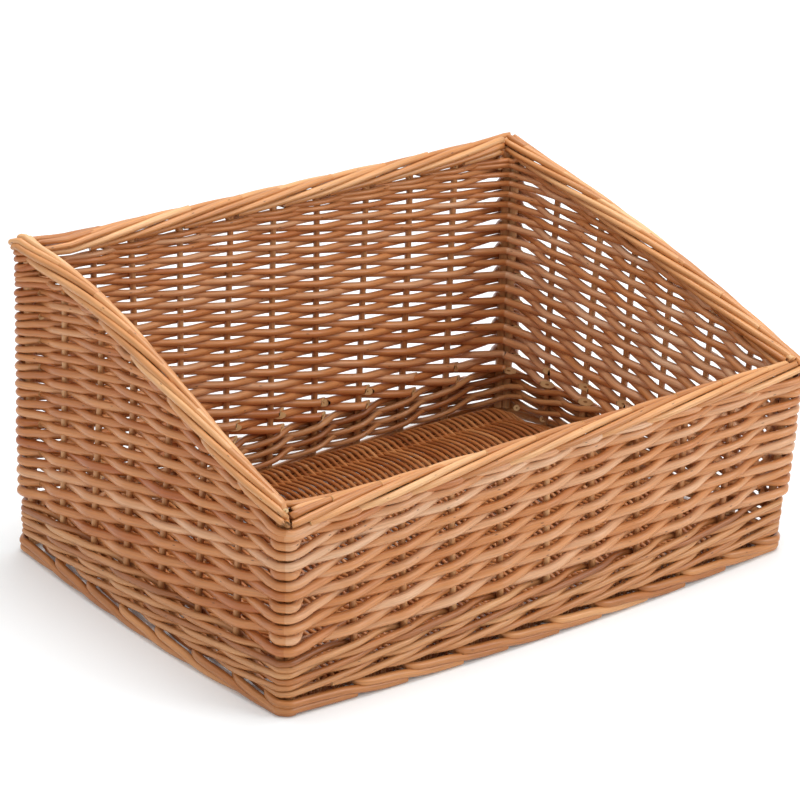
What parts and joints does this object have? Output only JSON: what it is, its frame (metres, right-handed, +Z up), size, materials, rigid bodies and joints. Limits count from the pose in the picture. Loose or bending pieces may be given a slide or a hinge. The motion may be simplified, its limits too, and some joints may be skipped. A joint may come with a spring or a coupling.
{
  "type": "wicker display basket",
  "caption": "Rectangular woven willow display basket with a low front, a tall back, sloping sides, an open top, a plaited rim and a raised foot border.",
  "frame": {"origin": "on the ground under the middle of the basket's outline", "axes": "+X to the right along the low front, +Y from the front to the tall back, +Z up"},
  "size_m": [0.485, 0.34, 0.25],
  "materials": {
    "willow_weavers": "buff willow rods, boiled and stripped, satin",
    "willow_wale": "thinner buff willow rods, satin",
    "willow_stakes": "stout buff willow rods, darker, satin",
    "willow_borders": "buff willow rods, paler and glossier where they are handled",
    "willow_base": "fine buff willow rods, satin"
  },
  "bodies": {
    "root": {"front_foot_border": "willow_borders", "right_foot_border": "willow_borders", "back_foot_border": "willow_borders", "left_foot_border": "willow_borders", "front_weave": "willow_weavers", "right_weave": "willow_weavers", "back_weave": "willow_weavers", "left_weave": "willow_weavers", "front_rim_border": "willow_borders", "right_rim_border": "willow_borders", "back_rim_border": "willow_borders", "left_rim_border": "willow_borders", "front_stake_1": "willow_stakes", "front_stake_2": "willow_stakes", "front_stake_3": "willow_stakes", "front_stake_4": "willow_stakes", "front_stake_5": "willow_stakes", "front_stake_6": "willow_stakes", "front_stake_7": "willow_stakes", "front_stake_8": "willow_stakes", "front_stake_9": "willow_stakes", "back_stake_1": "willow_stakes", "back_stake_2": "willow_stakes", "back_stake_3": "willow_stakes", "back_stake_4": "willow_stakes", "back_stake_5": "willow_stakes", "back_stake_6": "willow_stakes", "back_stake_7": "willow_stakes", "back_stake_8": "willow_stakes", "back_stake_9": "willow_stakes", "left_stake_1": "willow_stakes", "left_stake_2": "willow_stakes", "left_stake_3": "willow_stakes", "left_stake_4": "willow_stakes", "left_stake_5": "willow_stakes", "left_stake_6": "willow_stakes", "right_stake_1": "willow_stakes", "right_stake_2": "willow_stakes", "right_stake_3": "willow_stakes", "right_stake_4": "willow_stakes", "right_stake_5": "willow_stakes", "right_stake_6": "willow_stakes", "front_corner_post_1": "willow_stakes", "front_corner_post_2": "willow_stakes", "right_corner_post_1": "willow_stakes", "right_corner_post_2": "willow_stakes", "back_corner_post_1": "willow_stakes", "back_corner_post_2": "willow_stakes", "left_corner_post_1": "willow_stakes", "left_corner_post_2": "willow_stakes", "upsett_wale": "willow_wale", "base_weave": "willow_base", "base_stick_1": "willow_stakes", "base_stick_2": "willow_stakes", "base_stick_3": "willow_stakes", "base_stick_4": "willow_stakes", "base_stick_5": "willow_stakes", "base_stick_6": "willow_stakes", "base_stick_7": "willow_stakes"}
  },
  "joints": []
}
